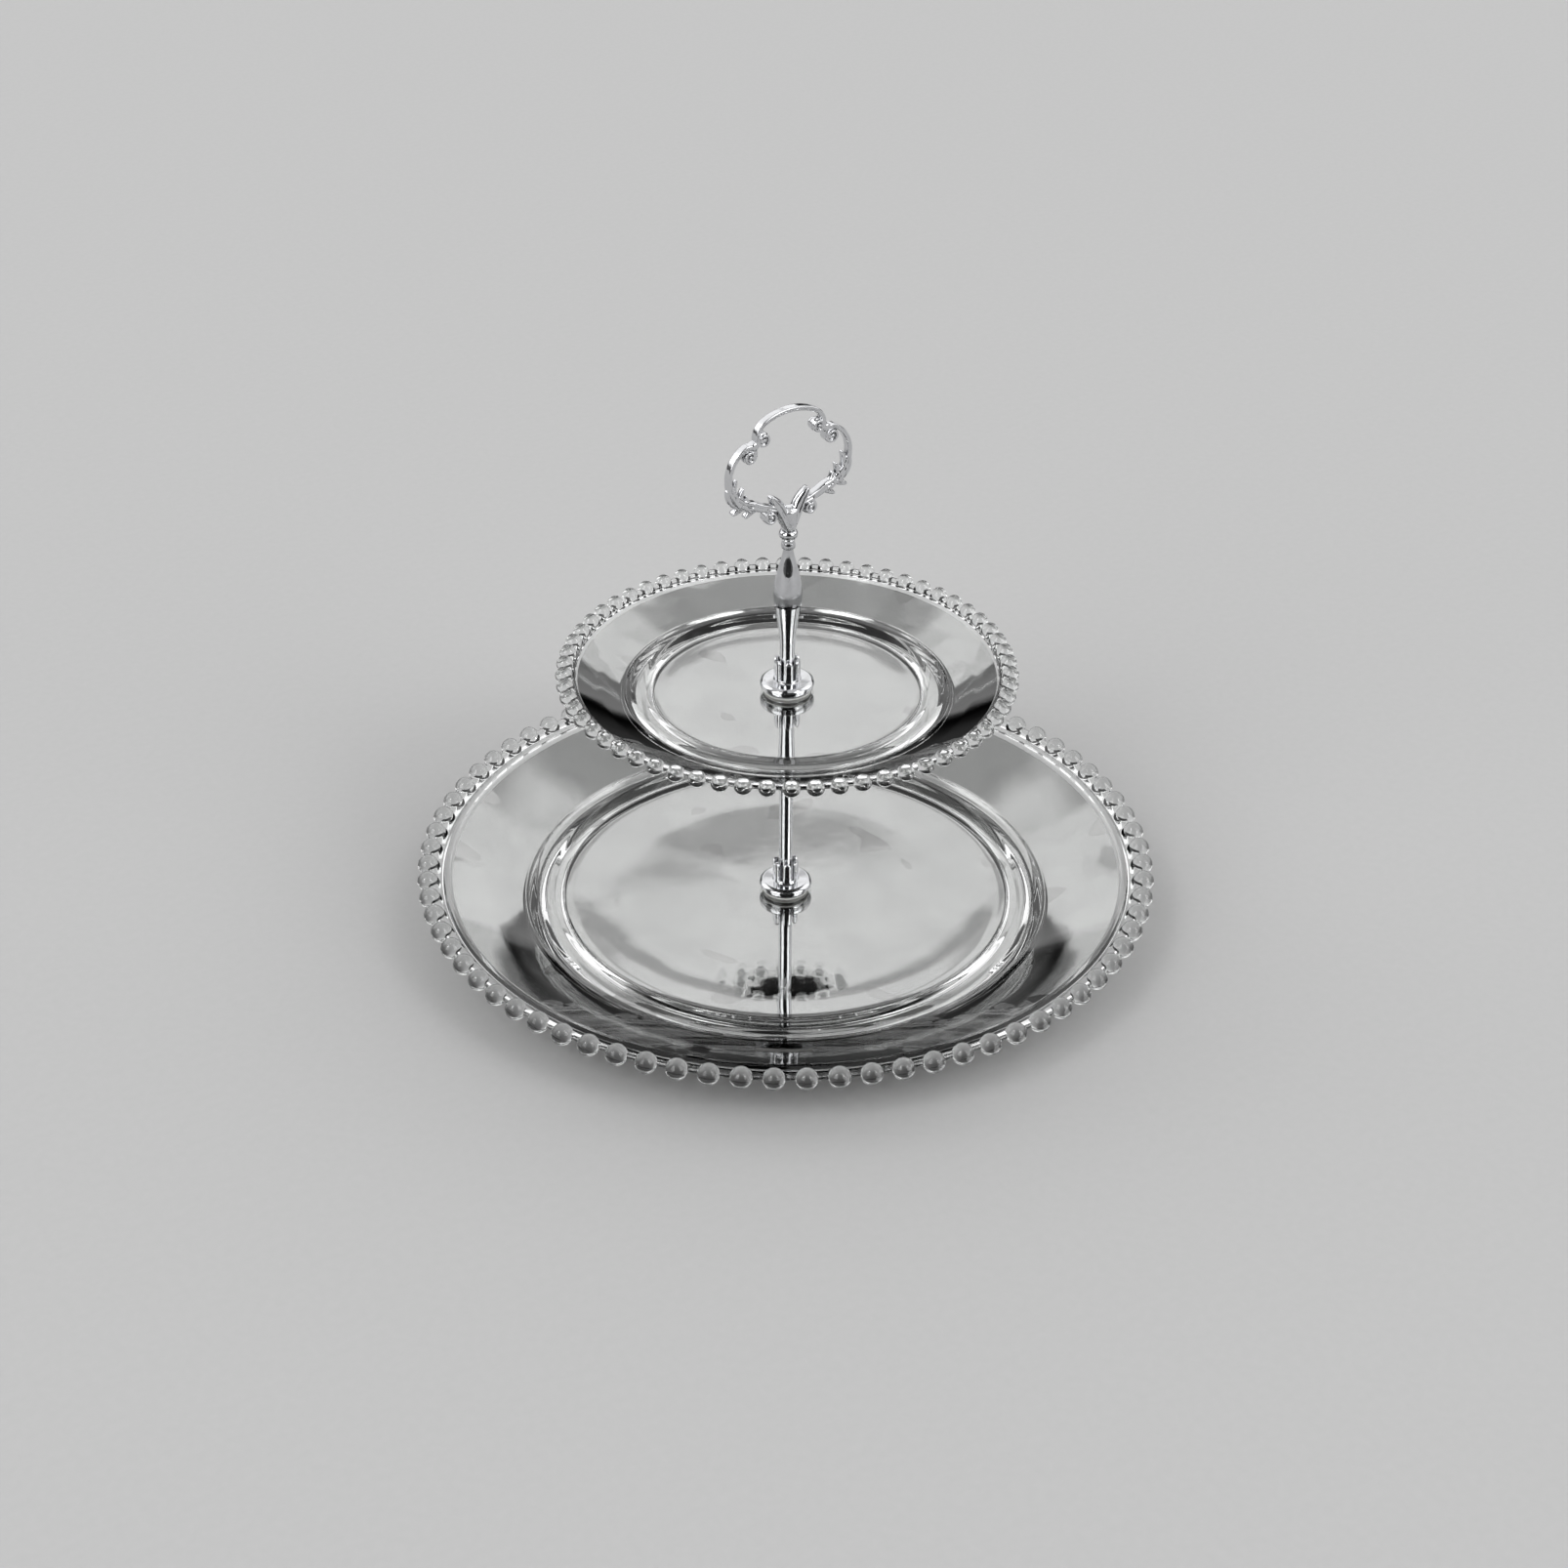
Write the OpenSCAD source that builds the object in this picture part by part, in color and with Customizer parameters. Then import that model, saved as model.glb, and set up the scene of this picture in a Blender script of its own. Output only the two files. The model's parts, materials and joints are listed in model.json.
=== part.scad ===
// Two-tier cake stand: two beaded, silvered glass plates on a screwed chrome column with a scroll ring handle.
// Millimetres, +Z up. The origin is where the column's axis meets the table.
// The plane of the handle's ring is XZ.

/* [Lower plate] */
// Diameter over the beads
lower_d = 330; // [328:1:332]
// Diameter of one bead
lower_bead_d = 9.4; // [9.2:0.1:9.6]
// Number of beads
lower_beads = 76; // [76:1:77]
// Height of the bead ring above the table
lower_bead_z = 25; // [24.5:0.5:25.5]

/* [Upper plate] */
// Diameter over the beads
upper_d = 200; // [199:1:201]
// Diameter of one bead
upper_bead_d = 7.5; // [7.4:0.1:7.6]
// Number of beads
upper_beads = 62; // [61:1:63]
// Height of the upper bead ring above the lower one
tier_gap = 97.3; // [90:0.1:110]

/* [Column] */
// Diameter of the plain rod between the plates
rod_d = 6.1; // [5.8:0.1:6.8]
// Diameter of the flanges that clamp the plates
flange_d = 23.6; // [22:0.2:26]
// Diameter of the thread on the studs and the screw
thread_d = 4; // [3.8:0.1:4]
// Fingers in each flange's crown
crown_fingers = 6; // [5:1:6]

/* [Handle] */
// Length of the spindle between the upper plate's gasket and the handle's collar
spindle_len = 70.6; // [69:0.1:73]
// Depth of the strap that the ring is bent from
strap_depth = 3.8; // [3.4:0.1:4.4]
// Thickness of that strap
strap_t = 2; // [1.8:0.1:2.2]

/* [Hidden] */

chrome = [0.80, 0.81, 0.83];
silvered_glass = [0.78, 0.80, 0.81];
rubber_white = [0.86, 0.86, 0.84];
steel = [0.62, 0.63, 0.64];

$fn = 96;
fit = 0.05;              // radial clearance of a running or screwed fit
hole_r = 4;              // hole drilled through each plate
thread_r = thread_d / 2;
gasket_t = 0.8;
gasket_r = 10.5;
flange_h = 4.5;
flange_edge = 1.9;       // rounding of a flange's rim
stud_grip = 14;          // how far a stud goes into the piece it holds
clamp_land_r = 20;       // flat centre of each plate's floor

// Lower plate, heights above the table
lower_edge_r = 150;
lower_lip = [116.7, 11];     // crease between the sloping rim and the well
lower_well = [99.6, 9.9];    // outer edge of the well's floor
lower_floor_z = 8.2;
lower_glass_t = 3.6;
lower_foot_r = 106;
lower_bead_phase = -1.58;

// Upper plate, heights above its own foot
upper_edge_r = 91;
upper_lip = [70.6, 9];
upper_well = [58, 8];
upper_floor_z = 7.2;
upper_glass_t = 3.2;
upper_foot_r = 63.5;
upper_bead_local_z = 16.9;
upper_bead_phase = -0.14;
upper_foot_z = lower_bead_z + tier_gap - upper_bead_local_z;

// Heights of the column's pieces above the table
plate_under_z = lower_floor_z - lower_glass_t;
washer_t = 1;
head_h = 2;
head_z = plate_under_z - gasket_t - washer_t - head_h;
column_z = lower_floor_z + gasket_t;
upper_under_z = upper_foot_z + upper_floor_z - upper_glass_t;
support_h = 3.4;
support_edge = 1.5;
rod_top_z = upper_under_z - gasket_t;
spindle_z = upper_foot_z + upper_floor_z + gasket_t;
spindle_top_z = spindle_z + spindle_len;
collar_h = 6;
ring_z = spindle_top_z + collar_h;

// Crown on a flange: each finger is an arch of this half width and height, crown_in from the axis
finger_half_w = 1.8;
finger_h = 10;
finger_t = 2;
crown_in = 3.9;
crown_phase = 5;
crown_hub_h = 1.2;

// Spindle, heights above its foot
spindle_foot_r = 3.65;
waist_h = 18.6;
waist_r = 3.25;
shoulder_h = 40.6;
shoulder_out_r = 5.9;
bulge_h = 45.1;
bulge_out_r = 6.25;
neck_h = spindle_len - 3.2;
neck_r = 2.1;
stem_bore_h = 8;             // how far the spindle's threaded end goes up into the handle's stem

// Handle ring, heights above its lower end; u is the distance from the axis
side_c = [15.3, 29.6];       // centre of a side lobe
side_r = 15.2;
shoulder_c = [8.8, 45.2];    // centre of the top lobe's shoulder
shoulder_r = 8.5;
shoulder_a = 26.8;           // where the shoulder meets the top arc, measured from +Z
top_r = 28;
ring_top_z = 55.8;
leaf_t = 2.4;
lap = 0.1;                   // step where one bend of the strap laps the next
scrolls = [[13.4, 44.8, 3.4], [20.1, 38.7, 3.4], [9.6, 8.4, 3.1]];   // u, height and radius
nodule = [17.5, 42.6, 2];    // knot between the two upper scrolls: u, height and radius
scroll_proud = 1.2;          // how much deeper the scrolls are than the strap
tulip_proud = 1.6;           // how much deeper the tulip leaves are than the strap
stem_r = 3.2;
stem_flare = 0.7;
stem_h = 9;

// Heights of a plate's floor between its flat centre and the well's edge: a shallow dish
function dish(floor_z, well, drop, steps = 6) =
    [for (i = [0 : steps])
        let (share = i / steps, r = clamp_land_r + (well[0] - clamp_land_r) * share)
        [r, floor_z + (well[1] - floor_z) * share * share - drop]];
function flip(list) = [for (i = [len(list) - 1 : -1 : 0]) list[i]];

// One pressed glass plate: dished floor, ridged well wall, sloping rim, foot ring and a ring of beads
module glass_plate(plate_r, bead_r, beads, phase, bead_z, edge_r, lip, well, floor_z, glass_t, foot_r) {
    bead_ring_r = plate_r - bead_r;
    web_h = bead_r * 0.32;
    ridge_h = 1.3;
    ridge_w = lip[0] - well[0];
    foot_w = 2.2;
    top = concat(
        [[hole_r, floor_z]],
        dish(floor_z, well, 0),
        [[well[0] + ridge_w * 0.25, lip[1] + ridge_h * 0.55],
         [well[0] + ridge_w * 0.42, lip[1] + ridge_h],
         [well[0] + ridge_w * 0.72, lip[1] + ridge_h],
         [well[0] + ridge_w * 0.88, lip[1] + ridge_h * 0.45],
         lip,
         [(lip[0] + edge_r) / 2, (lip[1] + bead_z) / 2 - 0.6],
         [edge_r, bead_z - 0.6],
         [bead_ring_r - bead_r, bead_z + web_h],
         [bead_ring_r, bead_z + web_h]]);
    bottom = concat(
        [[hole_r, floor_z - glass_t]],
        dish(floor_z, well, glass_t),
        [[foot_r - foot_w * 1.7, floor_z - glass_t],
         [foot_r - foot_w, 0],
         [foot_r + foot_w, 0],
         [foot_r + foot_w * 1.9, lip[1] - glass_t * 1.3],
         [lip[0] + 1.5, lip[1] - glass_t * 0.9],
         [edge_r, bead_z - glass_t],
         [bead_ring_r - bead_r, bead_z - web_h * 1.6],
         [bead_ring_r, bead_z - web_h]]);
    rotate_extrude($fn = 180)
        polygon(concat(top, flip(bottom)));
    for (i = [0 : beads - 1])
        rotate([0, 0, phase + i * 360 / beads])
            translate([bead_ring_r, 0, bead_z])
                sphere(r = bead_r, $fn = 32);
}

// Flat ring that is turned or stamped
module ring(r, bore, h) {
    rotate_extrude()
        translate([bore, 0])
            square([r - bore, h]);
}

// Disc with a fully rounded rim and a bore
module flange_disc(r, bore, h, edge) {
    rotate_extrude() {
        translate([bore, 0])
            square([r - edge - bore, h]);
        translate([r - edge, edge])
            square([edge, h - 2 * edge]);
        for (z = [edge, h - edge])
            translate([r - edge, z])
                circle(r = edge, $fn = 48);
    }
}

// Crown of upright round-topped fingers on a low hub
module crown(bore) {
    ring(crown_in + finger_t, bore, crown_hub_h);
    for (i = [0 : crown_fingers - 1])
        rotate([0, 0, crown_phase + i * 360 / crown_fingers])
            translate([crown_in, 0, 0])
                rotate([90, 0, 90])
                    linear_extrude(finger_t)
                        finger_outline();
}

// Arch with a round top that is a little wider than its legs
module finger_outline() {
    top_r = finger_half_w + 0.06;
    translate([-finger_half_w, 0])
        square([2 * finger_half_w, finger_h - top_r]);
    translate([0, finger_h - top_r])
        circle(r = top_r, $fn = 48);
}

module lower_plate() {
    color(silvered_glass)
        glass_plate(lower_d / 2, lower_bead_d / 2, lower_beads, lower_bead_phase, lower_bead_z,
                    lower_edge_r, lower_lip, lower_well, lower_floor_z, lower_glass_t, lower_foot_r);
}

module upper_plate() {
    color(silvered_glass)
        translate([0, 0, upper_foot_z])
            glass_plate(upper_d / 2, upper_bead_d / 2, upper_beads, upper_bead_phase, upper_bead_local_z,
                        upper_edge_r, upper_lip, upper_well, upper_floor_z, upper_glass_t, upper_foot_r);
}

// Slotted flat-head screw that pulls the column down on the lower plate
module base_screw() {
    head_r = 5.5;
    slot_w = 1.2;
    color(steel)
        translate([0, 0, head_z])
            difference() {
                union() {
                    cylinder(r = head_r, h = head_h);
                    cylinder(r = thread_r, h = column_z - head_z + stud_grip);
                }
                translate([-head_r - 1, -slot_w / 2, -1])
                    cube([2 * head_r + 2, slot_w, 1 + head_h / 2]);
            }
}

module base_washer() {
    color(steel)
        translate([0, 0, plate_under_z - gasket_t - washer_t])
            ring(gasket_r - 0.5, thread_r + 0.25, washer_t);
}

module base_gasket() {
    color(rubber_white)
        translate([0, 0, plate_under_z - gasket_t])
            ring(gasket_r, thread_r + 0.5, gasket_t);
}

module lower_gasket() {
    color(rubber_white)
        translate([0, 0, lower_floor_z])
            ring(gasket_r, thread_r + 0.5, gasket_t);
}

module lower_flange() {
    color(chrome)
        translate([0, 0, column_z]) {
            flange_disc(flange_d / 2, rod_d / 2 + fit, flange_h, flange_edge);
            translate([0, 0, flange_h])
                crown(rod_d / 2 + fit);
        }
}

// Plain rod, bored at both ends for the screw and the stud
module column_rod() {
    color(chrome)
        difference() {
            translate([0, 0, column_z])
                cylinder(r = rod_d / 2, h = rod_top_z - column_z);
            translate([0, 0, column_z - 1])
                cylinder(r = thread_r + fit, h = stud_grip + 2.5);
            translate([0, 0, rod_top_z - stud_grip - 1.5])
                cylinder(r = thread_r + fit, h = stud_grip + 3);
        }
}

// Headless stud that joins the rod and the spindle through the upper plate
module tier_stud() {
    color(steel)
        translate([0, 0, rod_top_z - stud_grip])
            cylinder(r = thread_r, h = spindle_z - rod_top_z + 2 * stud_grip);
}

module support_flange() {
    color(chrome)
        translate([0, 0, rod_top_z - support_h])
            flange_disc(flange_d / 2 - 1, rod_d / 2 + fit, support_h, support_edge);
}

module support_gasket() {
    color(rubber_white)
        translate([0, 0, rod_top_z])
            ring(gasket_r, thread_r + 0.5, gasket_t);
}

module upper_gasket() {
    color(rubber_white)
        translate([0, 0, spindle_z - gasket_t])
            ring(gasket_r, thread_r + 0.5, gasket_t);
}

module upper_flange() {
    color(chrome)
        translate([0, 0, spindle_z]) {
            flange_disc(flange_d / 2, spindle_foot_r + fit, flange_h, flange_edge);
            translate([0, 0, flange_h])
                crown(spindle_foot_r + fit);
        }
}

// Baluster: straight foot, taper out to a shoulder, long bulge in to a thin neck, and a cup for the collar
function taper_r(h) =
    let (share = (h - waist_h) / (shoulder_h - waist_h))
    waist_r + (shoulder_out_r - waist_r) * (1 - cos(90 * share));
function bulge_r(h) =
    let (share = (h - bulge_h) / (neck_h - bulge_h))
    neck_r + (bulge_out_r - neck_r) * pow(0.5 + 0.5 * cos(180 * share), 0.65);

module spindle() {
    taper_steps = 10;
    bulge_steps = 14;
    top_h = spindle_len + collar_h + stem_bore_h;
    taper = [for (i = [0 : taper_steps])
        let (h = waist_h + (shoulder_h - waist_h) * i / taper_steps) [taper_r(h), h]];
    bulge = [for (i = [0 : bulge_steps])
        let (h = bulge_h + (neck_h - bulge_h) * i / bulge_steps) [bulge_r(h), h]];
    cup = [[neck_r + 0.9, spindle_len - 2.2], [neck_r + 1, spindle_len - 1.3], [neck_r + 0.7, spindle_len]];
    profile = concat(
        [[0, 0], [spindle_foot_r, 0], [spindle_foot_r, flange_h]],
        taper, bulge, cup,
        [[thread_r, spindle_len], [thread_r, top_h], [0, top_h]]);
    color(chrome)
        translate([0, 0, spindle_z])
            difference() {
                rotate_extrude()
                    polygon(profile);
                translate([0, 0, -1])
                    cylinder(r = thread_r + fit, h = stud_grip + 2.5);
            }
}

// Loose bead ring under the handle, turned with a short spigot
module handle_collar() {
    bead_r = 2.1;
    spigot_r = 2.8;
    color(chrome)
        translate([0, 0, spindle_top_z])
            rotate_extrude()
                difference() {
                    union() {
                        square([spigot_r, collar_h]);
                        translate([spigot_r - 0.8, collar_h - bead_r])
                            circle(r = bead_r, $fn = 48);
                    }
                    translate([-bead_r, -1])
                        square([bead_r + thread_r + fit, collar_h + 2]);
                }
}

// Outline of a curved length of strap about centre c, from angle a0 to a1 measured from +X towards +Z
module strap_arc(c, r, a0, a1) {
    reach = 2 * r;
    edge = [for (i = [0 : 6])
        let (a = a0 + (a1 - a0) * i / 6) reach * [cos(a), sin(a)]];
    translate(c)
        intersection() {
            difference() {
                circle(r = r);
                circle(r = r - strap_t);
            }
            polygon(concat([[0, 0]], edge));
        }
}

// Flat shape in the ring's plane, centred on it
module in_plane(depth) {
    rotate([90, 0, 0])
        translate([0, 0, -depth / 2])
            linear_extrude(depth)
                children();
}

// Outline of the +X half of the strap: the top lobe's shoulder, side lobe and the branch down to the stem
module strap_outline() {
    strap_arc(shoulder_c, shoulder_r - lap, -25, 92 - shoulder_a);
    strap_arc(side_c, side_r, -78, 78);
    translate([nodule[0], nodule[1]])
        circle(r = nodule[2], $fn = 32);
    polygon([[20.8, 15.3], [15, 12.6], [11, 11.3], [3, 9.4], [3, 14], [10.5, 14.9], [14.5, 16.3], [19, 18.2]]);
}

// Leaves that spring from the lower part of the +X side lobe
module leaf_outline() {
    polygon([[28.8, 22.5], [25, 29], [24.4, 22.6], [26.3, 18.8]]);
    polygon([[26, 20], [22, 24], [21.4, 19.4], [22.5, 16.2]]);
    polygon([[28, 22.5], [30.4, 25.6], [29.9, 21], [25.5, 18]]);
    polygon([[24.5, 19.2], [28.2, 14.2], [22, 15.4], [21.5, 17.5]]);
    polygon([[20.5, 17.6], [22.2, 11.4], [15.5, 13.2], [16.5, 15.5]]);
}

// Flared leaf pair that the stem opens into
module tulip_outline() {
    half = [[3.9, 8], [4.8, 11], [8.8, 15.6], [8.6, 17], [6.5, 16.9], [2.5, 14.6]];
    polygon(concat(half, [[0, 13.3]], flip([for (p = half) [-p[0], p[1]]])));
}

module handle_ring() {
    color(chrome)
        translate([0, 0, ring_z])
            difference() {
                union() {
                    in_plane(strap_depth) {
                        strap_arc([0, ring_top_z - top_r], top_r, 90 - shoulder_a, 90 + shoulder_a);
                        for (side = [0, 1])
                            mirror([side, 0])
                                strap_outline();
                    }
                    in_plane(leaf_t)
                        for (side = [0, 1])
                            mirror([side, 0])
                                leaf_outline();
                    in_plane(strap_depth + tulip_proud)
                        tulip_outline();
                    for (side = [-1, 1])
                        for (s = scrolls)
                            translate([side * s[0], 0, s[1]])
                                rotate([90, 0, 0])
                                    cylinder(r = s[2], h = strap_depth + scroll_proud, center = true, $fn = 48);
                    cylinder(r1 = stem_r, r2 = stem_r + stem_flare, h = stem_h);
                }
                translate([0, 0, -1])
                    cylinder(r = thread_r + fit, h = stem_h + 1);
            }
}

lower_plate();
upper_plate();
base_screw();
base_washer();
base_gasket();
lower_gasket();
lower_flange();
column_rod();
tier_stud();
support_flange();
support_gasket();
upper_gasket();
upper_flange();
spindle();
handle_collar();
handle_ring();
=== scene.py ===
"""Two-tier beaded cake stand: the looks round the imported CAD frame.

Lengths in the shape functions are in millimetres and heights are above the table;
mesh_object() turns them into metres. The plane of the handle's ring is XZ.
"""

import json
import math

import bmesh
import bpy
import numpy as np
from mathutils import Matrix, Vector, noise


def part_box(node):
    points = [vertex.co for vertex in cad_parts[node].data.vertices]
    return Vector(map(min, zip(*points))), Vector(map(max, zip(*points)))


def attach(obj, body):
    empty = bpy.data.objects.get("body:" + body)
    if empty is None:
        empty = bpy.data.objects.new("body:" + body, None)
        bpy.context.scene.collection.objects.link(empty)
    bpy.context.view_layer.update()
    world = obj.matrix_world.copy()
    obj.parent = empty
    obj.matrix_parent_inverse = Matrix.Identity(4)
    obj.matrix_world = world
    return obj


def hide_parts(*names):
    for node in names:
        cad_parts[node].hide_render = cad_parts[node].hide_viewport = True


MM = 0.001
CREASE = 38                          # degrees; edges sharper than this stay sharp
VOXEL = 0.22                         # grid in which a casting's solids are melted together
SOFTENING = 6                        # smoothing passes after that

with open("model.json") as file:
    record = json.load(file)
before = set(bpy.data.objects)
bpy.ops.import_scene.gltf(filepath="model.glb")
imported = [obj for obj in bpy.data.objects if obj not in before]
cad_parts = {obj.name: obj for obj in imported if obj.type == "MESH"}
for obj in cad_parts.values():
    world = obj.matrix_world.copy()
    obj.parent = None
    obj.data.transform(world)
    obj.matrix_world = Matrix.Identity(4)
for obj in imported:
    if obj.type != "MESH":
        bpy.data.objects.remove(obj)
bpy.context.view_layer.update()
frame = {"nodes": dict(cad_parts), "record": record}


def box_mm(node):
    """Lowest and highest corner of a CAD node, in millimetres."""
    lo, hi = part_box(node)
    return lo / MM, hi / MM


def frame_body(node):
    """The CAD body that a node belongs to."""
    bodies = frame["record"]["behaviour"]["bodies"]
    return next(name for name, nodes in bodies.items() if node in nodes)


def stand_for(piece, node):
    """The piece takes the CAD node's place on its body."""
    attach(piece, frame_body(node))
    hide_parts(node)


# ---------------------------------------------------------------- meshes

def mesh_object(name, vertices, faces, material=None):
    """A smooth-shaded mesh object from points in millimetres, its normals turned outward."""
    mesh = bpy.data.meshes.new(name)
    mesh.from_pydata([(x * MM, y * MM, z * MM) for x, y, z in vertices], [], faces)
    tidy = bmesh.new()
    tidy.from_mesh(mesh)
    bmesh.ops.recalc_face_normals(tidy, faces=tidy.faces)
    tidy.to_mesh(mesh)
    tidy.free()
    obj = bpy.data.objects.new(name, mesh)
    bpy.context.scene.collection.objects.link(obj)
    if material:
        mesh.materials.append(material)
    crease(obj, CREASE)
    return obj


def crease(obj, degrees):
    """Smooth shading, with edges sharper than the angle left sharp."""
    obj.data.polygons.foreach_set("use_smooth", [True] * len(obj.data.polygons))
    obj.data.set_sharp_from_angle(angle=math.radians(degrees))


def arc(centre, radius, start, end, steps):
    """Points of an arc about centre, from start to end degrees, counted from +r towards +z."""
    turns = [math.radians(start + (end - start) * i / steps) for i in range(steps + 1)]
    return [(centre[0] + radius * math.cos(a), centre[1] + radius * math.sin(a)) for a in turns]


def rounded(points, steps=5):
    """A polyline whose corners are filleted. A point is (r, z) or (r, z, fillet radius)."""
    out = []
    last = len(points) - 1
    for i, point in enumerate(points):
        here = Vector(point[:2])
        if len(point) < 3 or i in (0, last):
            out.append(tuple(here))
            continue
        before = Vector(points[i - 1][:2]) - here
        after = Vector(points[i + 1][:2]) - here
        reach = min(point[2] * math.tan((math.pi - before.angle(after)) / 2),
                    before.length * 0.49, after.length * 0.49)
        start = here + before.normalized() * reach
        end = here + after.normalized() * reach
        for k in range(steps + 1):
            share = k / steps
            out.append(tuple(start * (1 - share) ** 2 + here * 2 * share * (1 - share)
                             + end * share ** 2))
    return out


def lathe(name, outline, segments, material=None, shift=None):
    """A closed (r, z) outline turned about Z. shift(r, angle, z) moves a point along Z."""
    vertices, rows = [], []
    for r, z in outline:
        if r < 1e-6:
            rows.append([len(vertices)] * segments)
            vertices.append((0, 0, z))
            continue
        rows.append(list(range(len(vertices), len(vertices) + segments)))
        for k in range(segments):
            a = 2 * math.pi * k / segments
            dz = shift(r, a, z) if shift else 0
            vertices.append((r * math.cos(a), r * math.sin(a), z + dz))
    faces = []
    for i, row in enumerate(rows):
        below = rows[(i + 1) % len(rows)]
        for k in range(segments):
            n = (k + 1) % segments
            corners = [row[k], row[n], below[n], below[k]]
            face = [c for j, c in enumerate(corners) if c != corners[j - 1]]
            if len(face) > 2:
                faces.append(face)
    return mesh_object(name, vertices, faces, material)


def row_faces(rows, around, first=0):
    """Quads between closed rows of points, the first row starting at vertex first."""
    faces = []
    for i in range(rows - 1):
        row = first + i * around
        for k in range(around):
            n = (k + 1) % around
            faces.append((row + k, row + n, row + around + n, row + around + k))
    return faces


def fan_faces(tip, first, around):
    """Triangles from the vertex tip to a closed row of points."""
    return [(tip, first + k, first + (k + 1) % around) for k in range(around)]


def bar_faces(rows, around):
    """The skin of a bar made of closed rows, with a flat face on each end."""
    last = (rows - 1) * around
    return row_faces(rows, around) + [tuple(range(around)), tuple(range(last, last + around))]


def gather(solids, height=0):
    """Several (vertices, faces) as one, raised by height."""
    vertices, faces = [], []
    for some_vertices, some_faces in solids:
        start = len(vertices)
        vertices += [(x, y, z + height) for x, y, z in some_vertices]
        faces += [[start + c for c in face] for face in some_faces]
    return vertices, faces


def bake_modifiers(obj):
    """Makes the modified shape the object's own mesh."""
    bpy.context.view_layer.update()
    graph = bpy.context.evaluated_depsgraph_get()
    shaped = bpy.data.meshes.new_from_object(obj.evaluated_get(graph))
    obj.modifiers.clear()
    obj.data = shaped


def union(base, others, operation="UNION"):
    """Joins closed meshes into base as one skin, or cuts them out of it, and removes them."""
    for other in others:
        cut = base.modifiers.new("join", "BOOLEAN")
        cut.operation = operation
        cut.solver = "MANIFOLD"
        cut.object = other
    bake_modifiers(base)
    for other in others:
        bpy.data.objects.remove(other)


def remesh_together(base, others):
    """Melts overlapping solids into one closed skin."""
    bpy.context.view_layer.update()
    joined = bmesh.new()
    for obj in (base, *others):
        joined.from_mesh(obj.data)
    joined.to_mesh(base.data)
    joined.free()
    for other in others:
        bpy.data.objects.remove(other)
    remesh = base.modifiers.new("melt", "REMESH")
    remesh.mode = "VOXEL"
    remesh.voxel_size = VOXEL * MM
    remesh.use_smooth_shade = True
    soften = base.modifiers.new("soften", "SMOOTH")
    soften.factor = 0.5
    soften.iterations = SOFTENING
    bake_modifiers(base)


# ---------------------------------------------------------------- node trees

class Nodes:
    """Short forms for building a node tree."""

    def __init__(self, tree):
        self.tree = tree

    def add(self, kind, inputs=(), **settings):
        node = self.tree.nodes.new(kind)
        for name, value in settings.items():
            setattr(node, name, value)
        for key, value in dict(inputs).items():
            self.put(node.inputs[key], value)
        return node

    def put(self, socket, value):
        if isinstance(value, bpy.types.NodeSocket):
            self.tree.links.new(value, socket)
        else:
            socket.default_value = value

    def math(self, operation, a, b=0.0):
        return self.add("ShaderNodeMath", {0: a, 1: b}, operation=operation).outputs[0]

    def dot(self, a, b):
        node = self.add("ShaderNodeVectorMath", {0: a, 1: b}, operation="DOT_PRODUCT")
        return node.outputs["Value"]

    def step(self, value, edge, soft):
        """0 below the edge, 1 above it, smooth over soft on each side."""
        ends = {"Value": value, "From Min": edge - soft, "From Max": edge + soft}
        node = self.add("ShaderNodeMapRange", ends, interpolation_type="SMOOTHSTEP")
        return node.outputs["Result"]

    def band(self, value, low, high, soft):
        """1 between low and high, 0 outside."""
        rise = self.step(value, low, soft)
        fall = self.math("SUBTRACT", 1.0, self.step(value, high, soft))
        return self.math("MULTIPLY", rise, fall)

    def mix(self, share, a, b):
        """From a at share 0 to b at share 1."""
        return self.add("ShaderNodeMix", {0: share, 2: a, 3: b}, data_type="FLOAT").outputs[0]

    def blend(self, share, a, b):
        """The same for colours."""
        return self.add("ShaderNodeMix", {0: share, 6: a, 7: b}, data_type="RGBA").outputs[2]

    def range(self, value, low, high, to_low=0, to_high=1):
        """The value's way from low to high as a number from to_low to to_high."""
        node = self.add("ShaderNodeMapRange", {"Value": value, "From Min": low, "From Max": high,
                                               "To Min": to_low, "To Max": to_high})
        return node.outputs["Result"]

    def place(self):
        """The point on the piece in millimetres."""
        point = self.add("ShaderNodeTexCoord").outputs["Object"]
        return self.add("ShaderNodeMapping", {"Vector": point, "Scale": (1 / MM,) * 3}).outputs[0]

    def noise(self, point, cell, detail=2.0, rough=0.5, twist=0.0):
        """Noise whose blobs are about cell across, in units of the point."""
        node = self.add("ShaderNodeTexNoise", {"Vector": point, "Scale": 1 / cell, "Detail": detail,
                                               "Roughness": rough, "Distortion": twist})
        return node.outputs["Fac"]

    def bump(self, height, depth, normal=None):
        """A normal for a height of 0 to 1 that stands for depth millimetres."""
        node = self.add("ShaderNodeBump", {"Height": height, "Strength": 1.0,
                                           "Distance": depth * MM})
        if normal:
            self.put(node.inputs["Normal"], normal)
        return node.outputs[0]


# ---------------------------------------------------------------- materials

def principled(name, settings):
    """A new material, its nodes and its shader's sockets, on which plain numbers are set."""
    material = bpy.data.materials.new(name)
    material.use_nodes = True
    sockets = material.node_tree.nodes["Principled BSDF"].inputs
    for socket, value in settings.items():
        sockets[socket].default_value = value
    return material, Nodes(material.node_tree), sockets


def uneven(n, share, low, high, light, dark):
    """A colour from light to dark while share goes from low to high."""
    return n.blend(n.range(share, low, high), (*light, 1), (*dark, 1))


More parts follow.
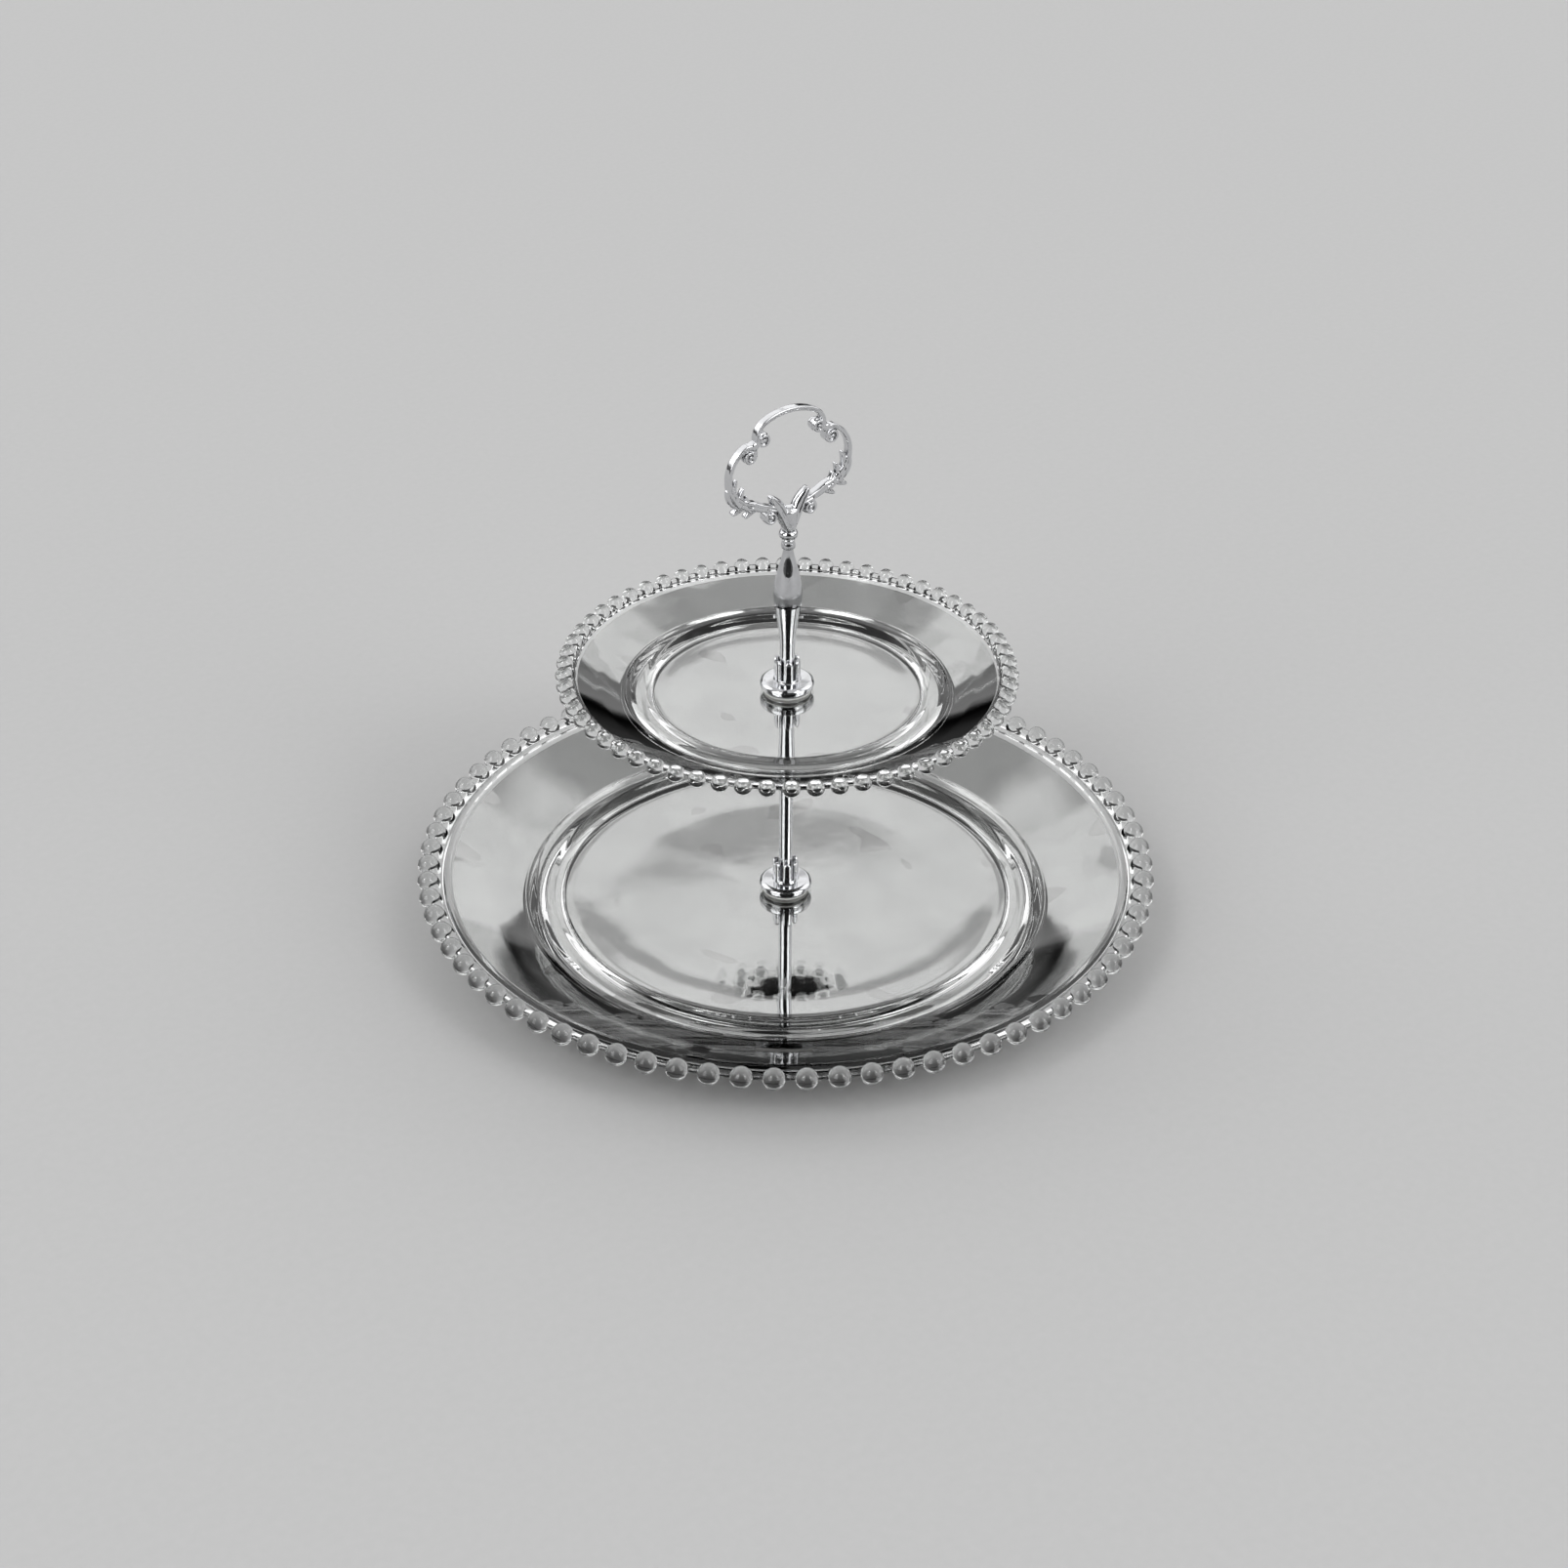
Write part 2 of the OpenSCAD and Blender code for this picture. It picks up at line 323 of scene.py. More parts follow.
def hairlines(n, point, cell):
    """Fine straight scratches in two directions: 1 on a scratch, 0 elsewhere."""
    total = 0.0
    for turn in (0.4, 2.1):
        turned = n.add("ShaderNodeVectorRotate", {"Vector": point, "Angle": turn},
                       rotation_type="Z_AXIS").outputs[0]
        long = n.add("ShaderNodeMapping", {"Vector": turned, "Scale": (0.04, 1.6, 1)}).outputs[0]
        total = n.math("MAXIMUM", n.step(n.noise(long, cell, 1.0), 0.73, 0.02), total)
    return total


def silvering_material():
    """Mirror film under the glass: slightly dull grey, faintly clouded and rippled."""
    material, n, sockets = principled("silvering", {"Metallic": 1})
    at = n.place()
    cloud = n.noise(at, 26, 3.0, 0.55, 0.4)
    fine = n.noise(at, 2.2, 3.0)
    n.put(sockets["Base Color"],
          uneven(n, cloud, 0.35, 0.7, (0.40, 0.40, 0.396), (0.345, 0.345, 0.342)))
    dull = n.math("ADD", cloud, n.math("MULTIPLY", fine, 0.4))
    n.put(sockets["Roughness"], n.range(dull, 0.6, 1.0, 0.0, 0.008))
    n.put(sockets["Normal"], n.bump(n.noise(at, 14, 1.0, 0.3, 0.6), 0.016))
    return material


def glass_material():
    """Clear pressed glass with the faint unevenness that the mould leaves."""
    material, n, sockets = principled("pressed_glass", {
        "Base Color": (0.985, 0.992, 0.99, 1), "IOR": 1.5, "Transmission Weight": 1})
    at = n.place()
    n.put(sockets["Roughness"], n.range(n.noise(at, 7, 3.0), 0.6, 0.8, 0.0, 0.01))
    n.put(sockets["Normal"], n.bump(n.noise(at, 6, 1.0, 0.3), 0.006))
    return material


def chrome_material():
    """Bright plate on turned parts: hairline wear and faint smears."""
    material, n, sockets = principled("column_chrome", {"Metallic": 1})
    at = n.place()
    smear = n.noise(at, 5, 3.0, 0.6, 0.8)
    wear = hairlines(n, at, 0.9)
    n.put(sockets["Base Color"],
          uneven(n, smear, 0.4, 0.75, (0.62, 0.625, 0.64), (0.54, 0.545, 0.555)))
    rough = n.math("ADD", n.range(smear, 0.4, 0.8, 0.03, 0.11), n.math("MULTIPLY", wear, 0.12))
    n.put(sockets["Roughness"], rough)
    n.put(sockets["Normal"], n.bump(wear, -0.004, n.bump(n.noise(at, 2.4, 1.0), 0.006)))
    return material


def cast_chrome_material():
    """Plated casting: softly dimpled skin, duller in its hollows, where its colour is darkened by
    ambient occlusion as painted shade.
    """
    material, n, sockets = principled("cast_chrome", {"Metallic": 1})
    at = n.place()
    skin = n.noise(at, 0.9, 3.0, 0.55)
    open_air = n.add("ShaderNodeAmbientOcclusion", {"Distance": 2.2 * MM}, samples=6).outputs["AO"]
    # painted shade: ambient occlusion darkens the base colour in the hollows and makes them rougher
    painted_hollow_shade = n.math("SUBTRACT", 1.0, n.step(open_air, 0.52, 0.3))
    n.put(sockets["Base Color"], n.blend(painted_hollow_shade, (0.66, 0.665, 0.68, 1), (0.16, 0.163, 0.17, 1)))
    rough = n.math("ADD", n.range(skin, 0.4, 0.7, 0.05, 0.12), n.math("MULTIPLY", painted_hollow_shade, 0.15))
    n.put(sockets["Roughness"], rough)
    n.put(sockets["Normal"], n.bump(skin, 0.02))
    return material


def steel_material():
    """Plain turned steel: rings from the tool, some dulling."""
    material, n, sockets = principled("plain_steel", {"Metallic": 1, "Anisotropic": 0.4})
    at = n.place()
    flat = n.add("ShaderNodeVectorMath", {0: at, 1: (1, 1, 0)}, operation="MULTIPLY").outputs[0]
    radius = n.add("ShaderNodeVectorMath", {0: flat}, operation="LENGTH").outputs["Value"]
    rings = n.math("SINE", n.math("MULTIPLY", radius, 40))
    dull = n.noise(at, 1.7, 3.0)
    n.put(sockets["Base Color"],
          uneven(n, dull, 0.35, 0.7, (0.60, 0.60, 0.61), (0.43, 0.43, 0.44)))
    n.put(sockets["Roughness"], n.range(dull, 0.3, 0.7, 0.22, 0.42))
    n.put(sockets["Normal"], n.bump(rings, 0.008))
    return material


def gasket_material():
    """Milky soft plastic washer."""
    material, n, sockets = principled("gasket", {
        "Subsurface Weight": 0.2, "Subsurface Radius": (0.001, 0.001, 0.001),
        "Subsurface Scale": 1.0})
    grain = n.noise(n.place(), 0.5, 3.0)
    n.put(sockets["Base Color"],
          uneven(n, grain, 0.3, 0.7, (0.80, 0.80, 0.78), (0.70, 0.70, 0.67)))
    n.put(sockets["Roughness"], n.range(grain, 0.3, 0.7, 0.38, 0.55))
    n.put(sockets["Normal"], n.bump(grain, 0.02))
    return material


def floor_material():
    """Plain pale paper."""
    material, n, sockets = principled("floor", {"Roughness": 0.75})
    paper = n.noise(n.place(), 4, 4.0)
    n.put(sockets["Base Color"], n.blend(paper, (0.42, 0.42, 0.42, 1), (0.45, 0.45, 0.45, 1)))
    return material


# ---------------------------------------------------------------- plates

class Plate:
    """One pressed plate. Radii from its axis, heights above its own foot.

    phase is the first bead's angle in degrees; edge_r the inner edge of the clear band beside the
    beads; lip and well the (r, z) of the top and the bottom of the well's ridged wall; dish how
    flat the floor is before it rises to the well's edge.
    """

    def __init__(self, node, beads, bead_r, phase, edge_r, lip, well, floor_z, glass_t, foot_r,
                 dish):
        lo, hi = box_mm(node)
        self.node, self.beads, self.bead_r, self.phase = node, beads, bead_r, phase
        self.edge_r, self.lip, self.well = edge_r, lip, well
        self.floor_z, self.glass_t, self.foot_r = floor_z, glass_t, foot_r
        self.dish = dish
        self.foot_z = lo.z
        self.bead_z = hi.z - lo.z - bead_r
        self.ring_r = round((hi.x - lo.x) / 2) - bead_r
        self.web_h = bead_r * 0.32


HOLE_R = 4
LAND_R = 20                          # flat middle of a plate's floor
FOOT_W = 2.2                         # half width of the foot ring
RIDGE_H = 1.3                        # crown of the well's wall above the lip
COAT_T = 0.06
COAT_GAP = 0.02                      # between the glass and its mirror film
WAVE_DEPTH = 0.05                    # slow unevenness of the film
WAVE_CELL = 22
WAVE_CALM_R = 30                     # it fades out inside this radius
BEAD_FIT = 0.999                     # keeps the beads inside the CAD ones
SEGMENTS_PER_BEAD = 6

LOWER = Plate("lower_plate", beads=76, bead_r=4.7, phase=-1.58, edge_r=150, lip=(116.7, 11),
              well=(99.6, 9.9), floor_z=8.2, glass_t=3.6, foot_r=106, dish=7)
UPPER = Plate("upper_plate", beads=62, bead_r=3.75, phase=-0.14, edge_r=91, lip=(70.6, 9),
              well=(58, 8), floor_z=7.2, glass_t=3.2, foot_r=63.5, dish=5)


def floor_curve(p, drop, steps=8):
    """The plate's floor from its flat middle to the well's edge: a shallow dish."""
    points = []
    for i in range(steps + 1):
        share = math.sqrt(i / steps)
        r = LAND_R + (p.well[0] - LAND_R) * share
        points.append((r, p.floor_z + (p.well[1] - p.floor_z) * share ** p.dish - drop))
    return points


def plate_top(p):
    """Upper surface of the glass, from the hole to the crown of the bead web."""
    width = p.lip[0] - p.well[0]
    bend = width * 0.35
    web_r = p.ring_r - p.bead_r * 0.9
    band = web_r - p.edge_r
    rib = min(0.5, band * 0.2)
    points = [(HOLE_R, p.floor_z), *floor_curve(p, 0)[:-1]]
    points += [(*p.well, 2),
               (p.well[0] + width * 0.30, p.lip[1] + RIDGE_H, bend),
               (p.well[0] + width * 0.78, p.lip[1] + RIDGE_H, bend),
               (*p.lip, 2.5),
               ((p.lip[0] + p.edge_r) / 2, (p.lip[1] + p.bead_z) / 2 - 0.6, 60),
               (p.edge_r, p.bead_z - 0.7, 2),
               (p.edge_r + band * 0.15, p.bead_z + rib, 0.5),
               (p.edge_r + band * 0.45, p.bead_z + rib, 0.6),
               (p.edge_r + band * 0.7, p.bead_z - 0.5, 0.5),
               (web_r, p.bead_z + p.web_h, 1.2),
               (p.ring_r - p.web_h, p.bead_z + p.web_h)]
    return rounded(points)


def plate_under(p, clear):
    """Lower surface of the glass, from the hole to the mirror's edge, its foot at height clear."""
    points = [(HOLE_R, p.floor_z - p.glass_t), *floor_curve(p, p.glass_t)[:-1]]
    points += [(p.foot_r - FOOT_W * 1.9, p.well[1] - p.glass_t, 2),
               (p.foot_r - FOOT_W, clear, 1),
               (p.foot_r + FOOT_W, clear, 1),
               (p.foot_r + FOOT_W * 2.4, p.lip[1] - p.glass_t * 1.3, 2),
               (p.lip[0] + 1.5, p.lip[1] - p.glass_t * 0.9, 3),
               (p.edge_r, p.bead_z - p.glass_t)]
    return rounded(points)


def offset(points, distance):
    """An open polyline moved sideways, to its right-hand side for a positive distance."""
    out = []
    for i, point in enumerate(points):
        ahead = Vector(points[min(i + 1, len(points) - 1)]) - Vector(points[max(i - 1, 0)])
        side = Vector((ahead.y, -ahead.x)).normalized()
        out.append(tuple(Vector(point) + side * distance))
    return out


def pressed_wave(seed):
    """Shift function for lathe(): the slow unevenness of a pressed surface."""
    def shift(r, a, z):
        at = Vector((r * math.cos(a), r * math.sin(a), 0)) / WAVE_CELL
        fade = min(1, r / WAVE_CALM_R)
        return fade * WAVE_DEPTH * noise.noise(at + Vector((seed, seed, 0)))
    return shift


def raise_by(points, height):
    return [(r, z + height) for r, z in points]


def unit_sphere(rings=14, around=26):
    """Vertices and faces of a sphere of radius 1."""
    vertices = [(0, 0, 1)]
    for i in range(1, rings):
        tilt = math.pi * i / rings
        for k in range(around):
            a = 2 * math.pi * k / around
            vertices.append((math.sin(tilt) * math.cos(a), math.sin(tilt) * math.sin(a),
                             math.cos(tilt)))
    vertices.append((0, 0, -1))
    last = len(vertices) - 1
    faces = fan_faces(0, 1, around) + row_faces(rings - 1, around, 1)
    return vertices, faces + fan_faces(last, last - around, around)


def bead_ring(p):
    """Every bead of a plate as one mesh of separate spheres."""
    ball, ball_faces = unit_sphere()
    beads = []
    for index in range(p.beads):
        turn = math.radians(p.phase + 360 * index / p.beads)
        middle = Vector((p.ring_r * math.cos(turn), p.ring_r * math.sin(turn),
                         p.foot_z + p.bead_z))
        beads.append(([middle + BEAD_FIT * p.bead_r * Vector(v) for v in ball], ball_faces))
    return mesh_object(p.node + "_beads", *gather(beads))


def build_plate(p, glass, silver):
    """The clear glass with its beads, and a thin mirror film of its own under it."""
    under = plate_under(p, 2 * (COAT_T + COAT_GAP))
    edge = arc((p.ring_r - p.web_h, p.bead_z), p.web_h, 90, -90, 8)
    inside_bead = (p.ring_r - p.bead_r, p.bead_z - p.web_h * 1.3)
    outline = plate_top(p)[:-1] + edge + [inside_bead] + under[::-1]
    segments = p.beads * SEGMENTS_PER_BEAD
    body = lathe(p.node + "_glass", raise_by(outline, p.foot_z), segments, glass)
    union(body, [bead_ring(p)])
    crease(body, 32)

    near = offset(under, COAT_GAP)
    far = offset(under, COAT_GAP + COAT_T)
    coat = raise_by(near + far[::-1], p.foot_z)
    mirror = lathe(p.node + "_silvering", coat, segments, silver, pressed_wave(p.beads))
    for piece in (body, mirror):
        stand_for(piece, p.node)


# ---------------------------------------------------------------- column

THREAD_R = 2
THREAD_PITCH = 0.7
THREAD_ROOM = 0.05                   # between a thread and its tapped bore
BORE_DEPTH = 15.5                    # tapped bores of the rod and the spindle
TURNED = 128                         # segments of a turned part

# The flanges' crown
FINGERS = 6
FINGER_PHASE = math.radians(5)
FINGER_R = (3.9, 5.9)                # inner and outer face
FINGER_HALF_W = 1.8
FINGER_H = 10
HUB_H = 1.2
FLANGE_H = 4.5

RING_BORES = {"base_washer": 2.25, "base_gasket": 2.5, "lower_gasket": 2.5,
              "support_gasket": 2.5, "upper_gasket": 2.5, "support_flange": 3.1}

# Spindle, (r, z) with heights above its foot
SPINDLE_FOOT_R = 3.65
WAIST = (3.25, 18.6)
SHOULDER = (5.9, 40.6)
BULGE = (6.25, 45.1)
NECK_R = 2.1
CUP_H = 3.2
THREAD_REACH = 14                    # length of the threaded end above the cup


def ring_outline(r0, r1, z0, z1, cut):
    """Closed outline of a ring from r0 to r1, its four edges rounded by cut."""
    middle = ((r0 + r1) / 2, z0)
    corners = [(r1, z0, cut), (r1, z1, cut), (r0, z1, cut), (r0, z0, cut)]
    return rounded([middle, *corners, middle])[:-1]


def thread(name, z0, z1, core_r, crest_r, around=48, per_turn=10):
    """A closed threaded rod from z0 to z1, whose thread runs out at both ends."""
    rows = max(2, round((z1 - z0) / THREAD_PITCH * per_turn))
    vertices = [(0, 0, z0)]
    for i in range(rows + 1):
        z = z0 + (z1 - z0) * i / rows
        runout = min(1, i / per_turn, (rows - i) / per_turn)
        for k in range(around):
            phase = (z / THREAD_PITCH - k / around) % 1
            r = core_r + (crest_r - core_r) * runout * (1 - abs(2 * phase - 1))
            a = 2 * math.pi * k / around
            vertices.append((r * math.cos(a), r * math.sin(a), z))
    vertices.append((0, 0, z1))
    last = len(vertices) - 1
    faces = row_faces(rows + 1, around, 1)
    faces += fan_faces(0, 1, around) + fan_faces(last, last - around, around)
    return mesh_object(name, vertices, faces)


def finger(index, foot_z, around=24, rows=14):
    """One upright finger of the crown, a curved pad with a round top, as (vertices, faces)."""
    middle_r = sum(FINGER_R) / 2
    half_t = (FINGER_R[1] - FINGER_R[0]) / 2
    turn = FINGER_PHASE + 2 * math.pi * index / FINGERS
    shoulder = FINGER_H - FINGER_HALF_W
    heights = [-0.5, 0, shoulder * 0.5, shoulder]
    heights += [shoulder + FINGER_HALF_W * math.sin(math.pi / 2 * i / rows)
                for i in range(1, rows)]
    vertices = []
    for h in heights:
        over = max(0, h - shoulder) / FINGER_HALF_W
        width = FINGER_HALF_W * math.sqrt(max(0, 1 - over ** 2))
        depth = half_t * (1 - 0.45 * over ** 2)
        for k in range(around):
            a = 2 * math.pi * k / around
            sideways = width * math.copysign(abs(math.cos(a)) ** 0.6, math.cos(a))
            r = middle_r + depth * math.copysign(abs(math.sin(a)) ** 0.6, math.sin(a))
            at = turn + sideways / middle_r
            vertices.append((r * math.cos(at), r * math.sin(at), foot_z + h))
    vertices.append((middle_r * math.cos(turn), middle_r * math.sin(turn), foot_z + FINGER_H))
    last = len(vertices) - 1
    faces = row_faces(len(heights), around) + [tuple(range(around))]
    return vertices, faces + fan_faces(last, last - around, around)


def build_flange(node, bore_r, material):
    """Round-edged disc with a crown of fingers."""
    lo, hi = box_mm(node)
    disc_r = (hi.x - lo.x) / 2
    top = lo.z + FLANGE_H
    outline = rounded([
        (bore_r, lo.z + 0.3), (bore_r + 0.3, lo.z),
        (disc_r - 1.2, lo.z, 0.3), (disc_r - 0.5, lo.z + 0.9, 0.6), (disc_r, lo.z + 1.6, 1),
        (disc_r, top - 1.2, 1.1), (disc_r - 1.5, top, 1.6),
        (FINGER_R[1] + 0.1, top, 0.3), (FINGER_R[1] - 0.2, top + HUB_H, 0.3),
        (bore_r, top + HUB_H)])
    disc = lathe(node + "_body", outline, TURNED, material)
    union(disc, [mesh_object(f"finger_{i}", *finger(i, top)) for i in range(FINGERS)])
    crease(disc, 40)
    stand_for(disc, node)


def build_ring_part(node, cut, material):
    """A turned ring or disc that fills its CAD node's box, its edges rounded by cut."""
    lo, hi = box_mm(node)
    outline = ring_outline(RING_BORES[node], (hi.x - lo.x) / 2, lo.z, hi.z, cut)
    ring = lathe(node + "_body", outline, TURNED, material)
    stand_for(ring, node)


def build_rod(material):
    """Plain rod with a tapped bore in each end."""
    lo, hi = box_mm("column_rod")
    r = (hi.x - lo.x) / 2
    foot_bore, head_bore = lo.z + BORE_DEPTH, hi.z - BORE_DEPTH
    bore_r = THREAD_R + THREAD_ROOM
    lip_r = bore_r + 0.01
    cut = 0.35
    outline = [(0, foot_bore), (bore_r, foot_bore - 0.6), (bore_r, lo.z)]
    outline += rounded([(lip_r, lo.z), (r, lo.z, cut), (r, (lo.z + hi.z) / 2), (r, hi.z, cut),
                        (lip_r, hi.z)])
    outline += [(bore_r, hi.z), (bore_r, head_bore + 0.6), (0, head_bore)]
    rod = lathe("column_rod_body", outline, TURNED, material)
    stand_for(rod, "column_rod")


def build_spindle(material):
    """Baluster with a tapped bore in its foot, and a cup and a threaded end on top."""
    lo, hi = box_mm("spindle")
    length = hi.z - lo.z - THREAD_REACH
    neck_h = length - CUP_H
    steps = 24
    taper, bulge = [], []
    for i in range(steps + 1):
        share = i / steps
        height = WAIST[1] + (SHOULDER[1] - WAIST[1]) * share
        widened = 1 - math.cos(math.pi / 2 * share)
        taper.append((WAIST[0] + (SHOULDER[0] - WAIST[0]) * widened, height))
        height = BULGE[1] + (neck_h - BULGE[1]) * share
        swell = (0.5 + 0.5 * math.cos(math.pi * share)) ** 0.65
        bulge.append((NECK_R + (BULGE[0] - NECK_R) * swell, height))
    bore_r = THREAD_R + THREAD_ROOM
    foot = [(bore_r, 0), (SPINDLE_FOOT_R - 0.2, 0), (SPINDLE_FOOT_R, 0.2),
            (SPINDLE_FOOT_R, FLANGE_H), (WAIST[0] + 0.12, 11)]
    shoulder = rounded([taper[-1], (SHOULDER[0] + 0.1, SHOULDER[1] + 0.5, 0.3), bulge[0]])[1:-1]
    cup = rounded([(NECK_R, neck_h + 0.1), (NECK_R + 0.95, length - 2.3, 0.4),
                   (NECK_R + 1, length - 1.3, 0.5), (NECK_R + 0.7, length, 0.2),
                   (THREAD_R - 0.4, length)])
    outline = foot + taper + shoulder + bulge[:-1] + cup
    outline += [(0, length), (0, BORE_DEPTH), (bore_r, BORE_DEPTH - 0.8)]
    body = lathe("spindle_body", raise_by(outline, lo.z), TURNED, material)
    union(body, [thread("screw", lo.z + length - 1, hi.z - 0.05, THREAD_R - 0.42,
                        THREAD_R - 0.04)])
    crease(body, 28)
    stand_for(body, "spindle")


def build_collar(material):
    """Loose ring: a bead above a short skirt."""
    lo, hi = box_mm("handle_collar")
    bead_r = 2.1
    bead_at = ((hi.x - lo.x) / 2 - bead_r, hi.z - bead_r)
    skirt_r = 2.8
    bore_r = THREAD_R + 0.1
    outline = [(bore_r, hi.z - 0.05), (bead_at[0], hi.z)]
    outline += arc(bead_at, bead_r, 80, -62, 18)
    outline += rounded([(skirt_r - 0.25, hi.z - 3.9), (skirt_r - 0.2, hi.z - 4.4, 0.2),
                        (skirt_r, hi.z - 4.7, 0.2), (skirt_r, lo.z + 0.1, 0.15),
                        (skirt_r - 0.15, lo.z)])
    outline += [(bore_r, lo.z)]
    collar = lathe("handle_collar_body", outline, TURNED, material)
    stand_for(collar, "handle_collar")


def build_screw(material):
    """Slotted screw, its head down."""
    lo, hi = box_mm("base_screw")
    head_r = (hi.x - lo.x) / 2
    head_top = lo.z + 2
    head = rounded([(0.01, lo.z), (head_r, lo.z, 0.8), (head_r, head_top, 0.2),
                    (0.01, head_top)])
    outline = [(0, lo.z), *head, (0, head_top)]
    screw = lathe("base_screw_body", outline, TURNED, material)
    union(screw, [thread("shank", head_top - 0.5, hi.z, THREAD_R - 0.35, THREAD_R)])
    x, y = head_r + 1, 0.6
    blade = [(-x, -y), (x, -y), (x, y), (-x, y)]
    corners = [(*corner, z) for z in (lo.z - 1, lo.z + 1) for corner in blade]
    sides = [(0, 1, 2, 3), (4, 5, 6, 7), (0, 1, 5, 4), (1, 2, 6, 5), (2, 3, 7, 6), (3, 0, 4, 7)]
    union(screw, [mesh_object("blade", corners, sides)], "DIFFERENCE")
    crease(screw, 30)
    stand_for(screw, "base_screw")


# ---------------------------------------------------------------- handle ring
# Points are (u, h): u across the ring's plane from the axis, h above the ring's lower end.

STRAP_HALF_T = 1.0                   # in the ring's plane
STRAP_HALF_D = 1.9                   # along Y
STRAP_GROOVE = 0.45
BORE_R = 2.3                         # for the spindle's threaded end
TOP_ARC = ((0, 27.8), 27.0)          # centre and radius of the strap's middle line
SHOULDER_ARC = ((8.8, 45.2), 7.5)
SHOULDER_FROM = 63.2                 # where the shoulder leaves the top arc
SIDE_ARC = ((15.3, 29.6), 14.2)
UPPER_VOLUTE = (13.4, 44.8)
LOWER_VOLUTE = (20.1, 38.7)
FOOT_VOLUTE = (9.6, 8.4)
NODULE = (17.6, 42.5)
CURL = 1.15                          # turns of a volute
BRANCH = [(17.5, 15.4), (14, 13.7), (10, 12.4), (6, 11.0), (3.2, 8.4)]

# Leaves: spine from base to tip, half width, half depth, how far the tip leans out on each face
LEAVES = [
    ([(24.2, 16.6), (26.8, 20.4), (27.2, 24.8), (25.9, 29.6)], 1.45, 2.3, 0),
    ([(19.2, 13.9), (23.0, 17.2), (24.0, 20.8), (22.6, 25.0)], 1.45, 2.4, 0),
    ([(12.5, 12.6), (17.2, 14.6), (20.6, 17.6), (21.6, 21.4)], 1.3, 2.5, 0),
    ([(24.6, 16.2), (27.8, 18.8), (29.8, 22.0), (30.6, 25.6)], 1.2, 1.9, 0),
    ([(20.6, 16.4), (23.8, 15.9), (26.2, 15.1), (28.3, 14.1)], 1.35, 2.0, 0.7),
    ([(14.6, 14.6), (17.8, 13.8), (20.2, 12.6), (22.3, 11.2)], 1.35, 2.0, 0.7),
]

STEM_R = 3.2
STEM_FLARE = 0.7
STEM_H = 9
STEM_SEGMENTS = 64
TULIP = [
    ([(1.6, 3.0), (3.6, 8.5), (6.0, 13.0), (9.4, 17.4)], 2.7, 3.4, 0),
    ([(1.2, 1.5), (2.0, 5.0), (3.0, 8.5), (4.6, 12.0)], 2.2, 3.3, 0),
]
FOLD = [(0, 3.0), (0, 6.5), (0, 10.4)]


def spiral(centre, r0, r1, start, turns, steps=34):
    """Points winding in about centre from radius r0 at start degrees; negative turns: clockwise."""
    points = []
    for i in range(steps + 1):
        share = i / steps
        a = math.radians(start + 360 * turns * share)
        r = r0 + (r1 - r0) * share ** 0.85
        points.append((centre[0] + r * math.cos(a), centre[1] + r * math.sin(a)))
    return points


def section(half_t, half_d, groove):
    """Rounded rectangle across a strap, as (sideways, along Y), grooved on its two faces."""
    corner = min(half_t, half_d) * 0.42
    points = []
    for sign_n, sign_y, start in ((1, 1, 0), (-1, 1, 90), (-1, -1, 180), (1, -1, 270)):
        centre = (sign_n * (half_t - corner), sign_y * (half_d - corner))
        points += arc(centre, corner, start, start + 90, 3)
        if start in (0, 180):
            points += [(sign_n * (half_t - corner) * x, sign_y * (half_d - groove * g))
                       for x, g in ((0.45, 0), (0.2, 0.8), (0, 1), (-0.2, 0.8), (-0.45, 0))]
    return points


def sweep(path, half_t, half_d, groove=0.0, shift_y=0.0, ring=section):
    """Vertices and faces of a bar swept along a path.

    Its sizes may be functions of the share of the path, 0 to 1.
    """
    def value(v, share):
        return v(share) if callable(v) else v

    vertices = []
    for i, point in enumerate(path):
        share = i / (len(path) - 1)
        ahead = Vector(path[min(i + 1, len(path) - 1)]) - Vector(path[max(i - 1, 0)])
        side = Vector((-ahead.y, ahead.x)).normalized()
        lean = value(shift_y, share)
        outline = ring(value(half_t, share), value(half_d, share), value(groove, share))
        vertices += [(point[0] + side.x * n, y + lean, point[1] + side.y * n) for n, y in outline]
    return vertices, bar_faces(len(path), len(vertices) // len(path))


def leaf_section(half_w, half_d, groove):
    """Lens across a leaf, with a vein sunk in both faces."""
    points = []
    for k in range(20):
        a = 2 * math.pi * k / 20
        vein = groove * math.exp(-(math.cos(a) / 0.28) ** 2)
        depth = max(half_d * abs(math.sin(a)) - vein, 0.02)
        points.append((half_w * math.cos(a), math.copysign(depth, math.sin(a))))
    return points


def smooth_path(points, per_span=8):
    """A curve through the points (Catmull-Rom)."""
    ends = [points[0], *points, points[-1]]
    out = []
    for i in range(len(points) - 1):
        p0, p1, p2, p3 = (Vector(q) for q in ends[i:i + 4])
        for k in range(per_span):
            t = k / per_span
            out.append(tuple(0.5 * (2 * p1 + (p2 - p0) * t
                                    + (2 * p0 - 5 * p1 + 4 * p2 - p3) * t ** 2
                                    + (3 * p1 - p0 - 3 * p2 + p3) * t ** 3)))
    out.append(tuple(points[-1]))
    return out


def leaf(spine, half_w, half_d, lift):
    """A pointed leaf from its base to its tip. lift moves its tip along Y."""
    def width(t):
        swell = 0.75 + 0.3 * math.sin(math.pi * t)
        return half_w * (math.sqrt(max(0, 1 - t ** 4)) * swell + 0.05)

    return sweep(smooth_path(spine), width,
                 half_d=lambda t: half_d * (1 - 0.4 * t ** 2),
                 groove=lambda t: 0.42 * half_d * (1 - 0.6 * t),
                 shift_y=lambda t: lift * t ** 2, ring=leaf_section)


